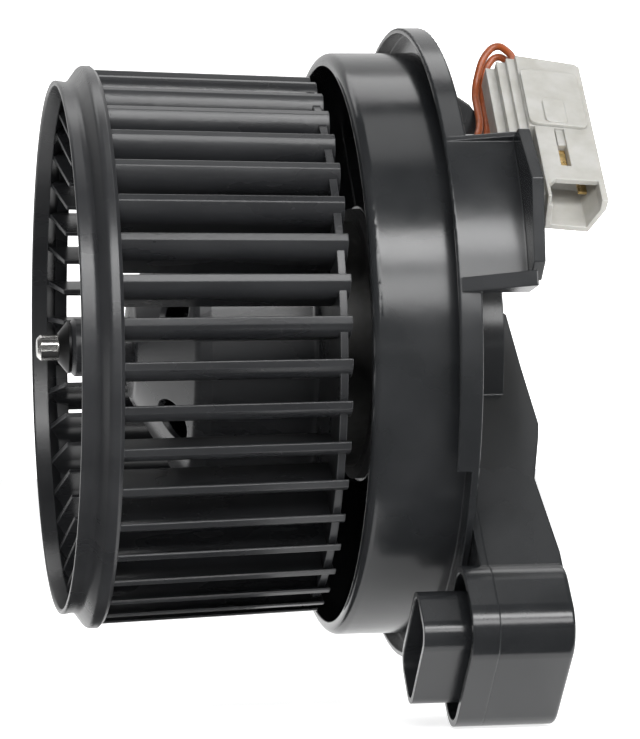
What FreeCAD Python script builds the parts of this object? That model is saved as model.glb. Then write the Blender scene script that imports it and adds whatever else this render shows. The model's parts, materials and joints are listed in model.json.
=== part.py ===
import FreeCAD, Part
import math
import os
import re
import Sketcher

# Blower motor assembly. The wheel turns about the X axis. The origin is on that axis, in the plane of
# the flange face that meets the duct housing. The wheel and its inlet point along -X, the motor's rear
# along +X, and +Z is up. All lengths are in millimetres and all angles in degrees.
# An angle round the axis is 0 at -Y, 90 at +Z and -90 at -Z.

SIZES = {
    # wheel
    "lip_x": -95.0,            # front edge of the inlet ring
    "lip_radius": 73.0,
    "ring_wall": 1.5,
    "bead_radius": 76.9,       # rounded bead behind the ring's neck
    "ring_length": 10.6,
    "blade_rear_x": -25.2,
    "blade_front_radius": 75.9,
    "blade_rear_radius": 73.8,
    "blade_heel_radius": 60.6,
    "blade_thickness": 1.3,
    "blade_tip_curl": 6.5,     # radius of the curled outer part of a blade
    "blade_curl_angle": 75.0,
    "blade_count": 42,
    "blade_phase": -3.7,
    "dome_front_x": -74.4,
    "dome_nose_radius": 14.6,
    "dome_radius": 39.2,
    "dome_wall": 1.8,
    "brim_x": -28.2,
    "brim_radius": 72.0,
    "vent_radius": 5.7,
    "vent_circle": 29.5,
    "vent_count": 6,
    "vent_phase": -43.0,
    "hub_radius": 8.0,
    "hub_front_x": -91.0,
    "hub_rear_x": -61.5,
    # shaft and motor
    "shaft_radius": 3.5,
    "shaft_front_x": -100.0,
    "shaft_rear_x": 15.0,
    "running_gap": 0.05,
    "can_radius": 34.0,
    "can_wall": 1.6,
    "can_front_x": -55.0,
    "can_rear_x": 3.0,
    "boss_radius": 9.0,
    "bush_radius": 7.0,
    "cap_rear_x": 11.0,
    "core_radius": 24.8,
    "core_front_x": -43.0,
    "core_rear_x": -11.0,
    "slot_count": 12,
    "magnet_inner": 25.6,
    "magnet_angle": 130.0,
    "commutator_radius": 8.5,
    "commutator_front_x": -5.0,
    "commutator_rear_x": 8.6,
    "brush_front_x": 2.6,
    "brush_width": 5.0,
    "brush_depth": 6.4,
    "brush_length": 9.0,
    "spring_outer": 27.5,
    # housing
    "drum_radius": 80.3,
    "drum_wall": 1.9,
    "drum_front_x": -20.9,
    "drum_lip": 3.4,
    "plate_x": 4.0,            # front face of the flange plate
    "plate_wall": 2.1,
    "rim_radius": 87.2,
    "rim_wall": 1.4,
    "sleeve_bore": 36.2,
    "sleeve_wall": 2.0,
    "sleeve_front_x": -11.0,
    "rib_count": 9,
    "rim_gap_start": -23.0,    # the rim wall is open from here down, where the duct arm crosses it
    "rim_gap_angle": 54.0,
    "ear_circle": 92.0,
    "ear_angle": 55.0,         # from the far side, up and down
    "ear_radius": 7.5,
    "ear_hole": 2.75,
    "lug_low": 55.4,
    "lug_x": 18.5,
    "lug_near": 36.6,
    "lug_depth": 6.6,
    "screw_circle": 46.3,
    "screw_radius": 1.5,
    "cover_ear_depth": 3.0,
    "cover_ear_radius": 5.9,
    # cooling duct, which runs outward at arm_angle
    "arm_angle": -48.0,
    "arm_width": 39.0,
    "duct_wall": 1.8,
    "cap_radius": 42.0,
    "cap_x": 21.5,
    "arm_rear_x": 29.4,
    "joint_x": 8.0,            # where the duct cover meets the spigot piece
    "spout_distance": 107.0,
    "spout_length": 44.6,
    "spout_width": 28.0,
    "spout_corner": 10.0,
    "spout_front_x": 0.9,
    "spout_rear_x": 27.7,
    "spigot_length": 31.0,
    "spigot_width": 18.0,
    "spigot_corner": 5.5,
    "spigot_front_x": -10.4,
    "spigot_wall": 1.6,
    # connector bracket and connector
    "web_wall": 1.8,
    "bracket_low": 7.8,        # angles of the bracket's lower and upper walls
    "bracket_high": 37.0,
    "bracket_x": 18.3,         # front face of the plate that holds the connector
    "bracket_plate": 3.0,
    "bracket_reach": 9.0,      # how far its two walls stand out beyond the rim
    "connector_x": 24.4,       # front lower left corner of the connector
    "connector_y": -80.0,
    "connector_z": 41.2,
    "connector_lean": -49.3,   # turned back about X, so that the socket faces down and outward
    "connector_turn": 5.4,
    "connector_width": 15.8,
    "connector_depth": 10.6,
    "socket_depth": 15.5,
    "shoulder_up": 22.3,       # height of the shoulder between the lower and the upper block
    "connector_up": 52.4,
    "wire_radius": 1.0,
    "wire_x": 13.5,
    "wire_spread": 1.2,        # each wire's distance from the grommet's middle
    "wire_angle": 42.0,
    "grommet_radius": 3.4,
}

doc = FreeCAD.newDocument("blower")
sheet = doc.addObject("Spreadsheet::Sheet", "dims")
for row, (alias, value) in enumerate(SIZES.items(), start=1):
    sheet.set("A%d" % row, alias)
    sheet.set("B%d" % row, str(value))
    sheet.setAlias("B%d" % row, alias)
doc.recompute()

subparts = []
X_AXIS = FreeCAD.Vector(1, 0, 0)
ORIGIN = FreeCAD.Vector(0, 0, 0)


def size(alias):
    """The number that the sheet holds for an alias."""
    return float(sheet.get(alias))


def bound(text):
    """An expression for setExpression: every alias in the text is read from the sheet."""
    return re.sub(r"[a-z]+(_[a-z]+)+", lambda match: "dims." + match.group(0), text)


def around_axis(angle):
    """A placement that turns a piece about the wheel's axis."""
    return FreeCAD.Placement(ORIGIN, FreeCAD.Rotation(X_AXIS, angle))


def polar(x, radius, angle):
    """A point at a radius and an angle round the axis, counted from -Y towards +Z."""
    turn = math.radians(angle)
    return FreeCAD.Vector(x, -radius * math.cos(turn), radius * math.sin(turn))


def keep(piece, label):
    """Name a finished sub-part and list it for export."""
    piece.Label = label
    subparts.append(piece)
    return piece


# ---------------------------------------------------------------- sketches and features

def new_body(name):
    return doc.addObject("PartDesign::Body", name)


def new_sketch(body, name, plane, offset="0"):
    """A sketch on one of the body's own origin planes, moved along the plane's normal."""
    sketch = body.newObject("Sketcher::SketchObject", name)
    support = [item for item in body.Origin.OriginFeatures if item.Role == plane]
    sketch.AttachmentSupport = [(support[0], "")]
    sketch.MapMode = "FlatFace"
    sketch.setExpression("AttachmentOffset.Base.z", bound(offset))
    return sketch


def draw_outline(sketch, corners):
    """A closed outline of straight lines; each corner is a pair of expressions."""
    first = sketch.GeometryCount
    count = len(corners)
    start = []
    for index in range(count):
        turn = 2 * math.pi * index / count
        start.append(FreeCAD.Vector(10 * math.cos(turn), 20 + 10 * math.sin(turn), 0))
    for index in range(count):
        sketch.addGeometry(Part.LineSegment(start[index], start[(index + 1) % count]))
    for index, (across, up) in enumerate(corners):
        line = first + index
        following = first + (index + 1) % count
        sketch.addConstraint(Sketcher.Constraint("Coincident", line, 2, following, 1))
        for kind, place, text in (("DistanceX", start[index].x, across), ("DistanceY", start[index].y, up)):
            number = sketch.addConstraint(Sketcher.Constraint(kind, -1, 1, line, 1, place))
            sketch.setExpression("Constraints[%d]" % number, bound(text))


def draw_circle(sketch, across, up, radius):
    """A circle; its centre and radius are expressions."""
    circle = sketch.addGeometry(Part.Circle(FreeCAD.Vector(5, 5, 0), FreeCAD.Vector(0, 0, 1), 3))
    for kind, text in (("DistanceX", across), ("DistanceY", up)):
        number = sketch.addConstraint(Sketcher.Constraint(kind, -1, 1, circle, 3, 5.0))
        sketch.setExpression("Constraints[%d]" % number, bound(text))
    number = sketch.addConstraint(Sketcher.Constraint("Radius", circle, 3.0))
    sketch.setExpression("Constraints[%d]" % number, bound(radius))


def revolve(body, corners, angle="360", start=180.0, part="", kind="Revolution"):
    """Turn an outline of (x, radius) corners about the wheel's axis, from start down by angle."""
    sketch = new_sketch(body, body.Name + part + "_profile", "XY_Plane")
    sketch.AttachmentOffset = around_axis(180.0 - start)
    draw_outline(sketch, corners)
    feature = body.newObject("PartDesign::" + kind, body.Name + part + "_turned")
    feature.Profile = sketch
    feature.ReferenceAxis = (sketch, ["H_Axis"])
    feature.setExpression("Angle", bound(angle))
    doc.recompute()
    return feature


def pad(body, sketch, length, symmetric=False):
    """Grow a sketch along its normal."""
    feature = body.newObject("PartDesign::Pad", sketch.Name + "_pad")
    feature.Profile = sketch
    feature.setExpression("Length", bound(length))
    feature.Midplane = symmetric
    doc.recompute()
    return feature


def pocket(body, sketch, length, symmetric=False):
    """Cut a sketch along its normal, and make sure that the cut removes something."""
    before = body.Shape.Volume
    feature = body.newObject("PartDesign::Pocket", sketch.Name + "_pocket")
    feature.Profile = sketch
    feature.setExpression("Length", bound(length))
    feature.Midplane = symmetric
    feature.Reversed = not symmetric
    doc.recompute()
    if not body.Shape.Volume < before - 0.1:
        raise RuntimeError("%s cuts nothing" % feature.Name)
    return feature


def repeat(body, feature, count):
    """Repeat a feature evenly round the wheel's axis."""
    pattern = body.newObject("PartDesign::PolarPattern", feature.Name + "_pattern")
    pattern.Originals = [feature]
    pattern.Axis = (axis_of(body, "X_Axis"), [""])
    pattern.Angle = 360
    pattern.setExpression("Occurrences", bound(count))
    body.Tip = pattern
    doc.recompute()
    return pattern


def axis_of(body, role):
    return [item for item in body.Origin.OriginFeatures if item.Role == role][0]


def round_edges(body, feature, radius, chosen):
    """Fillet the feature's edges that the chosen function accepts."""
    names = []
    for number, edge in enumerate(feature.Shape.Edges, start=1):
        if chosen(edge):
            names.append("Edge%d" % number)
    fillet = body.newObject("PartDesign::Fillet", feature.Name + "_round")
    fillet.Base = (feature, names)
    fillet.Radius = radius
    doc.recompute()
    return fillet


def is_ring(edge, x, radius):
    """True for the full circle round the axis at this place."""
    curve = edge.Curve
    if not isinstance(curve, Part.Circle):
        return False
    return abs(curve.Center.x - x) < 0.02 and abs(curve.Radius - radius) < 0.02


def round_rings(body, feature, radius, *rings):
    """Fillet the full circles that stand at these (x, radius) places."""
    return round_edges(body, feature, radius, lambda edge: any(is_ring(edge, *ring) for ring in rings))


def turned_piece(label, corners, angle="360", start=None):
    """A sub-part that is one turned profile."""
    body = new_body(label)
    revolve(body, corners, angle)
    if start is not None:
        body.Placement = around_axis(start)
    return keep(body, label)


def solid_feature(label, shape, placement=FreeCAD.Placement()):
    """A sub-part whose shape is worked out from the sheet's numbers, in the placement's own frame."""
    feature = doc.addObject("Part::Feature", label)
    feature.Shape = shape
    feature.Placement = placement
    return keep(feature, label)


def tube_between(x_front, x_rear, inner, outer):
    """Corners of a plain tube round the axis."""
    return [(x_front, inner), (x_front, outer), (x_rear, outer), (x_rear, inner)]


# ---------------------------------------------------------------- wheel

def make_inlet_ring():
    """Thin lip, concave neck, rounded bead and a short rear band."""
    body = new_body("wheel_inlet_ring")
    neck = "lip_radius - 0.6"
    band = "blade_front_radius + 0.1"
    bead_x = "lip_x + 7.2"
    corners = [
        ("lip_x", "lip_radius - ring_wall"),
        ("lip_x", "lip_radius"),
        ("lip_x + 4.0", neck),
        (bead_x, "bead_radius"),
        ("lip_x + 9.6", "bead_radius"),
        ("lip_x + ring_length", band),
        ("lip_x + ring_length", band + " - ring_wall"),
        (bead_x, band + " - ring_wall"),
        ("lip_x + 4.4", neck + " - ring_wall"),
    ]
    turned = revolve(body, corners)
    lip_x = size("lip_x")
    lip = size("lip_radius")
    smooth = round_rings(body, turned, 1.8, (lip_x + 7.2, size("bead_radius")), (lip_x + 4.0, lip - 0.6))
    round_rings(body, smooth, 0.6, (lip_x, lip), (lip_x, lip - size("ring_wall")))
    keep(body, "wheel_inlet_ring")


def blade_prism():
    """One blade: a straight radial heel, then a tip that curls forward; it leans in towards the rear."""
    heel = size("blade_heel_radius")
    curl = size("blade_tip_curl")
    half = size("blade_thickness") / 2
    turn = math.radians(size("blade_curl_angle"))
    straight = size("blade_front_radius") - heel - curl * math.sin(turn)
    centre = (heel + straight, curl)

    def on_curl(radius, angle):
        outward = centre[0] + radius * math.sin(angle)
        return FreeCAD.Vector(0, -outward, centre[1] - radius * math.cos(angle))

    under = [FreeCAD.Vector(0, -heel, -half), on_curl(curl + half, 0),
             on_curl(curl + half, turn / 2), on_curl(curl + half, turn)]
    over = [FreeCAD.Vector(0, -heel, half), on_curl(curl - half, 0),
            on_curl(curl - half, turn / 2), on_curl(curl - half, turn)]
    edges = [
        Part.LineSegment(under[0], under[1]),
        Part.Arc(under[1], under[2], under[3]),
        Part.LineSegment(under[3], over[3]),
        Part.Arc(over[3], over[2], over[1]),
        Part.LineSegment(over[1], over[0]),
        Part.LineSegment(over[0], under[0]),
    ]
    face = Part.Face(Part.Wire([edge.toShape() for edge in edges]))
    length = size("blade_rear_x") - size("lip_x")
    slope = size("blade_front_radius") - size("blade_rear_radius")
    slope = slope / (length - size("ring_length"))
    prism = face.extrude(FreeCAD.Vector(length, slope * length, 0))
    prism.translate(FreeCAD.Vector(size("lip_x"), -slope * size("ring_length"), 0))
    tip = over[3]
    tip_angle = math.degrees(math.atan2(tip.z, -tip.y))
    return prism, tip_angle


def blade_envelope():
    """The turned space that the blades fill: slanted inside the ring, tapered behind it."""
    lip_x = size("lip_x")
    ring_rear = lip_x + size("ring_length")
    inside = size("blade_front_radius") - size("ring_wall") + 0.5
    outline = [
        (lip_x + 4.6, size("lip_radius") - size("ring_wall") - 0.1),
        (lip_x + 7.4, inside),
        (ring_rear, inside),
        (ring_rear, size("blade_front_radius")),
        (size("blade_rear_x"), size("blade_rear_radius")),
        (size("blade_rear_x"), size("blade_heel_radius") - 3),
        (lip_x + 9.4, size("blade_heel_radius") - 3),
    ]
    points = [FreeCAD.Vector(x, radius, 0) for x, radius in outline]
    face = Part.Face(Part.makePolygon(points + points[:1]))
    return face.revolve(ORIGIN, X_AXIS, 360)


def make_blades():
    prism, tip_angle = blade_prism()
    blade = prism.common(blade_envelope()).Solids[0]
    pitch = 360.0 / size("blade_count")
    blades = []
    for number in range(int(size("blade_count"))):
        copy = blade.copy()
        turn = size("blade_phase") - tip_angle + number * pitch
        copy.rotate(ORIGIN, X_AXIS, -turn)
        blades.append(copy)
    solid_feature("wheel_blades", Part.Compound(blades))


def make_wheel_back():
    """Vented dome over the motor, with the flat brim that carries the blades."""
    body = new_body("wheel_back")
    nose = "dome_nose_radius"
    corners = [
        ("dome_front_x - 0.4", "hub_radius"),
        ("dome_front_x", nose),
        ("dome_front_x + 13.5", "dome_radius - 1.6"),
        ("dome_front_x + 17.6", "dome_radius - 0.2"),
        ("brim_x", "dome_radius"),
        ("brim_x", "brim_radius"),
        ("brim_x + 2.0", "brim_radius"),
        ("brim_x + 2.0", "dome_radius - dome_wall"),
        ("dome_front_x + 18.0", "dome_radius - dome_wall - 0.2"),
        ("dome_front_x + 14.6", "dome_radius - dome_wall - 1.2"),
        ("dome_front_x + 1.7", nose),
        ("dome_front_x + 1.4", "hub_radius"),
    ]
    turned = revolve(body, corners)
    front = size("dome_front_x")
    dome = size("dome_radius")
    smooth = round_rings(body, turned, 3.0, (front + 13.5, dome - 1.6), (front, size("dome_nose_radius")))
    round_rings(body, smooth, 1.5, (size("brim_x"), dome))
    vent = new_sketch(body, "vent", "YZ_Plane", "dome_front_x - 2")
    place = polar(0, 1.0, size("vent_phase"))
    draw_circle(vent, "vent_circle * %.6f" % place.y, "vent_circle * %.6f" % place.z, "vent_radius")
    cut = pocket(body, vent, "26")
    repeat(body, cut, "vent_count")
    keep(body, "wheel_back")


def make_hub():
    """Boss of the wheel, bored for the shaft, with a front shoulder under the clip."""
    turned_piece("wheel_hub", [
        ("hub_front_x", "shaft_radius"),
        ("hub_front_x", "hub_radius - 1.2"),
        ("hub_front_x + 1.2", "hub_radius"),
        ("hub_rear_x", "hub_radius"),
        ("hub_rear_x", "shaft_radius"),
    ])
    turned_piece("hub_clip", [
        ("hub_front_x - 2.6", "shaft_radius"),
        ("hub_front_x - 3.2", "shaft_radius + 0.5"),
        ("hub_front_x - 0.7", "hub_radius - 0.9"),
        ("hub_front_x", "hub_radius - 0.9"),
        ("hub_front_x", "shaft_radius"),
    ])


def make_shaft():
    """Motor shaft with a chamfered tip and a flat that drives the hub."""
    body = new_body("shaft")
    corners = [
        ("shaft_front_x", "0"),
        ("shaft_front_x", "shaft_radius - 1.0"),
        ("shaft_front_x + 1.0", "shaft_radius"),
        ("shaft_rear_x - 0.5", "shaft_radius"),
        ("shaft_rear_x", "shaft_radius - 0.5"),
        ("shaft_rear_x", "0"),
    ]
    revolve(body, corners)
    flat = new_sketch(body, "shaft_flat", "YZ_Plane", "shaft_front_x - 1")
    draw_outline(flat, [
        ("-shaft_radius - 1", "0.6"),
        ("-shaft_radius + 0.6", "0.6"),
        ("-shaft_radius + 0.6", "-0.9"),
        ("-shaft_radius - 1", "-0.9"),
    ])
    pocket(body, flat, "6.5")
    keep(body, "shaft")


# ---------------------------------------------------------------- motor

def make_motor_can():
    """Deep-drawn steel can with a bearing boss and four vents in its front wall."""
    body = new_body("motor_can")
    corners = [
        ("can_front_x - 4", "bush_radius"),
        ("can_front_x - 4", "boss_radius"),
        ("can_front_x", "boss_radius"),
        ("can_front_x", "can_radius"),
        ("can_rear_x", "can_radius"),
        ("can_rear_x", "can_radius - can_wall"),
        ("can_front_x + can_wall", "can_radius - can_wall"),
        ("can_front_x + can_wall", "bush_radius"),
    ]
    turned = revolve(body, corners)
    round_rings(body, turned, 2.0, (size("can_front_x"), size("can_radius")))
    vent = new_sketch(body, "can_vent", "YZ_Plane", "can_front_x - 1")
    draw_circle(vent, "0", "20", "6")
    cut = pocket(body, vent, "4")
    repeat(body, cut, "4")
    keep(body, "motor_can")


def make_end_cap():
    """Rear cap of the motor, which closes the can and carries the rear bush."""
    body = new_body("motor_end_cap")
    corners = [
        ("can_rear_x", "can_radius - can_wall"),
        ("can_rear_x", "can_radius"),
        ("cap_rear_x", "can_radius"),
        ("cap_rear_x", "boss_radius"),
        ("cap_rear_x + 5", "boss_radius"),
        ("cap_rear_x + 5", "bush_radius"),
        ("cap_rear_x - can_wall", "bush_radius"),
        ("cap_rear_x - can_wall", "can_radius - can_wall"),
    ]
    turned = revolve(body, corners)
    round_rings(body, turned, 2.0, (size("cap_rear_x"), size("can_radius")))
    vent = new_sketch(body, "cap_vent", "YZ_Plane", "cap_rear_x - can_wall - 1")
    draw_circle(vent, "20", "0", "5")
    cut = pocket(body, vent, "4")
    repeat(body, cut, "4")
    body.Placement = around_axis(48.0)
    keep(body, "motor_end_cap")


def make_bearings():
    """Sintered bushes in the two bosses, each with a thrust washer."""
    bore = "shaft_radius + running_gap"
    turned_piece("front_bush", tube_between("can_front_x - 3.8", "can_front_x + 2.0", bore, "bush_radius"))
    turned_piece("rear_bush", tube_between("cap_rear_x - 1.4", "cap_rear_x + 4.0", bore, "bush_radius"))
    turned_piece("front_thrust_washer", tube_between("can_front_x + 2.2", "can_front_x + 3.0",
                                                     "shaft_radius", "shaft_radius + 2.5"))
    turned_piece("rear_thrust_washer", tube_between("cap_rear_x - 2.2", "cap_rear_x - 1.6",
                                                    "shaft_radius", "shaft_radius + 2.5"))


def make_magnets():
    """Two arc magnets on the can's inner wall."""
    for label, middle in (("magnet_upper", 0.0), ("magnet_lower", 180.0)):
        corners = tube_between("core_front_x - 2", "core_rear_x + 2",
                               "magnet_inner", "can_radius - can_wall")
        start = middle + 90.0 - size("magnet_angle") / 2
        turned_piece(label, corners, "magnet_angle", start)


def make_armature():
    """Slotted core, with its end windings and commutator."""
    body = new_body("armature_core")
    turned = revolve(body, tube_between("core_front_x", "core_rear_x", "shaft_radius", "core_radius"))
    slot = new_sketch(body, "slot", "YZ_Plane", "core_front_x - 1")
    draw_outline(slot, [("-1.4", "12"), ("1.4", "12"), ("2.6", "21.5"), ("0.9", "23"),
                        ("0.9", "core_radius + 1"), ("-0.9", "core_radius + 1"), ("-0.9", "23"),
                        ("-2.6", "21.5")])
    cut = pocket(body, slot, "core_rear_x - core_front_x + 2")
    repeat(body, cut, "slot_count")
    keep(body, "armature_core")
    make_windings("windings_front", "core_front_x", -6.5)
    make_windings("windings_rear", "core_rear_x", 5.0)
    make_commutator()


def make_windings(label, end, length):
    """The coils' overhang at one end of the core, as a rounded ring."""
    coil = new_body(label)
    inner = 11.0
    outer = 22.6
    ring = revolve(coil, tube_between(end, "%s + %.1f" % (end, length), str(inner), str(outer)))
    far_x = size(end) + length
    round_rings(coil, ring, 2.5, (far_x, outer), (far_x, inner))
    keep(coil, label)


def make_commutator():
    """Copper sleeve with a collar, slit into one bar for each slot of the core."""
    bars = new_body("commutator")
    revolve(bars, [
        ("commutator_front_x", "shaft_radius"),
        ("commutator_front_x", "commutator_radius + 1.6"),
        ("commutator_front_x + 1.6", "commutator_radius + 1.6"),
        ("commutator_front_x + 1.6", "commutator_radius"),
        ("commutator_rear_x", "commutator_radius"),
        ("commutator_rear_x", "shaft_radius"),
    ])
    gap = new_sketch(bars, "bar_gap", "YZ_Plane", "commutator_front_x - 1")
    draw_outline(gap, [("-0.25", "commutator_radius - 1.2"), ("0.25", "commutator_radius - 1.2"),
                       ("0.25", "commutator_radius + 3"), ("-0.25", "commutator_radius + 3")])
    cut = pocket(bars, gap, "commutator_rear_x - commutator_front_x + 2")
    repeat(bars, cut, "slot_count")
    keep(bars, "commutator")


def make_box(name, lows, highs):
    """A Part box whose low and high corners are expressions."""
    box = doc.addObject("Part::Box", name)
    for side, coordinate, low, high in zip(("Length", "Width", "Height"), "xyz", lows, highs):
        box.setExpression(side, bound("(%s) - (%s)" % (high, low)))
        box.setExpression("Placement.Base." + coordinate, bound(low))
    return box


def make_brush_gear():
    """Brush plate, and on each side a brass holder, a carbon brush and its coil spring."""
    turned_piece("brush_plate", tube_between("can_rear_x - 3.0", "brush_front_x - 0.8",
                                             "commutator_radius + 2.6", "can_radius - can_wall"))
    for side, turn in (("upper", 0.0), ("lower", 180.0)):
        outer = make_box("holder_outer_" + side,
                         ("brush_front_x - 0.8", "-brush_depth / 2 - 0.9", "commutator_radius + 1.5"),
                         ("brush_front_x + brush_width + 0.8", "brush_depth / 2 + 0.9",
                          "spring_outer + 1.0"))
        inner = make_box("holder_inner_" + side,
                         ("brush_front_x - 0.1", "-brush_depth / 2 - 0.1", "commutator_radius"),
                         ("brush_front_x + brush_width + 0.1", "brush_depth / 2 + 0.1", "spring_outer"))
        holder = doc.addObject("Part::Cut", "brush_holder_" + side)
        holder.Base = outer
        holder.Tool = inner
        holder.Placement = around_axis(turn)
        keep(holder, "brush_holder_" + side)
        brush = make_box("brush_" + side,
                         ("brush_front_x", "-brush_depth / 2", "commutator_radius + running_gap"),
                         ("brush_front_x + brush_width", "brush_depth / 2",
                          "commutator_radius + brush_length"))
        if turn:
            brush.setExpression("Placement.Base.z", bound("-commutator_radius - brush_length"))
        keep(brush, "brush_" + side)
        make_brush_spring(side, turn)


def make_brush_spring(side, turn):
    """Coil spring that presses a brush on the commutator."""
    start = size("commutator_radius") + size("brush_length") + 0.25
    length = size("spring_outer") - start - 0.25
    wire = 0.25
    helix = Part.makeHelix((length - 2 * wire) / 5, length - 2 * wire, 1.7)
    section = Part.Wire(Part.makeCircle(wire, FreeCAD.Vector(1.7, 0, 0), FreeCAD.Vector(0, 1, 0)))
    coil = Part.Wire(helix.Edges).makePipeShell([section], True, True)
    seat = FreeCAD.Placement()
    seat.Base = FreeCAD.Vector(size("brush_front_x") + size("brush_width") / 2, 0, start + wire)
    solid_feature("brush_spring_" + side, coil, around_axis(turn).multiply(seat))


# ---------------------------------------------------------------- housing

def make_isolator():
    """Rubber sleeve between the motor can and the housing."""
    turned_piece("motor_isolator", [
        ("sleeve_front_x - 2.0", "can_radius"),
        ("sleeve_front_x - 2.0", "sleeve_bore + 1.2"),
        ("sleeve_front_x", "sleeve_bore + 1.2"),
        ("sleeve_front_x", "sleeve_bore"),
        ("can_rear_x - 1", "sleeve_bore"),
        ("can_rear_x - 1", "can_radius"),
    ])


def make_housing():
    """One moulding: drum, flange with its channel, motor sleeve, ribs, ears and connector bracket."""
    body = new_body("motor_housing")
    inside = "drum_radius - drum_wall"
    corners = [
        ("drum_front_x", "drum_radius - drum_lip"),
        ("drum_front_x", "drum_radius"),
        ("plate_x", "drum_radius"),
        ("plate_x", "rim_radius - rim_wall"),
        ("0", "rim_radius - rim_wall"),
        ("0", "rim_radius"),
        ("plate_x + plate_wall", "rim_radius"),
        ("plate_x + plate_wall", "sleeve_bore"),
        ("sleeve_front_x", "sleeve_bore"),
        ("sleeve_front_x", "sleeve_bore + sleeve_wall"),
        ("plate_x", "sleeve_bore + sleeve_wall"),
        ("plate_x", inside),
        ("drum_front_x + 2.0", inside),
        ("drum_front_x + 2.0", "drum_radius - drum_lip"),
    ]
    turned = revolve(body, corners)
    rim = size("rim_radius")
    smooth = round_rings(body, turned, 2.4, (size("drum_front_x"), size("drum_radius")))
    round_rings(body, smooth, 0.5, (0, rim), (size("plate_x") + size("plate_wall"), rim))

    rib = new_sketch(body, "rib", "YZ_Plane", "plate_x - 9")
    draw_outline(rib, [("-0.8", "sleeve_bore + 1"), ("0.8", "sleeve_bore + 1"),
                       ("0.8", inside + " + 0.9"), ("-0.8", inside + " + 0.9")])
    ribs = pad(body, rib, "9.5")
    repeat(body, ribs, "rib_count")

    whole = body.Shape.Volume
    revolve(body, tube_between("-1", "plate_x", "drum_radius", "rim_radius + 1"),
            "rim_gap_angle", size("rim_gap_start"), "_gap", "Groove")
    if not body.Shape.Volume < whole - 1:
        raise RuntimeError("the rim gap cuts nothing")

    for side, sign in (("upper", 1), ("lower", -1)):
        add_ear(body, side, sign)
    add_rear_lug(body)
    add_bracket(body)
    add_screw_holes(body)
    keep(body, "motor_housing")


def add_ear(body, side, sign):
    """A screw ear on the far side of the flange: a round pad with a web to the rim, and its hole."""
    lean = math.radians(size("ear_angle"))
    across = "ear_circle * %.6f" % math.cos(lean)
    up = "ear_circle * %.6f" % (sign * math.sin(lean))
    ear = new_sketch(body, "ear_" + side, "YZ_Plane", "0")
    draw_circle(ear, across, up, "ear_radius")
    pad(body, ear, "plate_x + plate_wall")
    hole = new_sketch(body, "ear_hole_" + side, "YZ_Plane", "-1")
    draw_circle(hole, across, up, "ear_hole")
    pocket(body, hole, "plate_x + plate_wall + 2")


def add_rear_lug(body):
    """Wedge-shaped lug behind the flange, above the wires."""
    lug = new_sketch(body, "lug", "XZ_Plane", "lug_near - lug_depth")
    draw_outline(lug, [
        ("plate_x", "lug_low"),
        ("lug_x", "lug_low"),
        ("lug_x", "lug_low + 2"),
        ("lug_x - 4.5", "lug_low + 8"),
        ("lug_x - 7.5", "lug_low + 10"),
        ("plate_x", "lug_low + 10.6"),
    ])
    pad(body, lug, "lug_depth")


def add_bracket(body):
    """Curved web behind the rim, a wall at each end of it, and the plate that holds the connector."""
    inside = "rim_radius - web_wall"
    rear = "bracket_x + 0.5"
    high = size("bracket_high")
    low = size("bracket_low")
    root = "plate_x + 0.5"
    web = tube_between(root, rear, inside, "rim_radius")
    revolve(body, web, "bracket_high - bracket_low", high, "_web")
    for part, start, span, reach in (("_upper_wall", high, 1.0, "2.0"),
                                     ("_lower_wall", low + 2.4, 2.4, "bracket_reach")):
        wall = [(root, inside), ("0.6", "rim_radius - 1.0"), ("0.6", "rim_radius"),
                (rear, "rim_radius + " + reach), (rear, inside)]
        revolve(body, wall, str(span), start, part)
    outline = [(-74.0, 14.0), (-87.5, 14.6), (-92.4, 19.2), (-91.6, 40.6), (-76.4, 54.0), (-64.0, 51.0)]
    plate = new_sketch(body, "end_plate", "YZ_Plane", "bracket_x")
    draw_outline(plate, [(str(y), str(z)) for y, z in outline])
    pad(body, plate, "bracket_plate")


def screw_angles():
    """Where the duct cover's three screws stand round the axis."""
    return [size("arm_angle") + step for step in (118.0, 198.0, 248.0)]


def add_screw_holes(body):
    holes = new_sketch(body, "screw_holes", "YZ_Plane", "plate_x - 1")
    for angle in screw_angles():
        place = polar(0, 1.0, angle)
        draw_circle(holes, "screw_circle * %.6f" % place.y, "screw_circle * %.6f" % place.z,
                    "screw_radius + 0.1")
    pocket(body, holes, "plate_wall + 2")


# ---------------------------------------------------------------- cooling duct

# The duct is drawn with its arm along +Y and is then turned about the axis.

def arm_placement():
    return around_axis(180.0 - size("arm_angle"))


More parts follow.
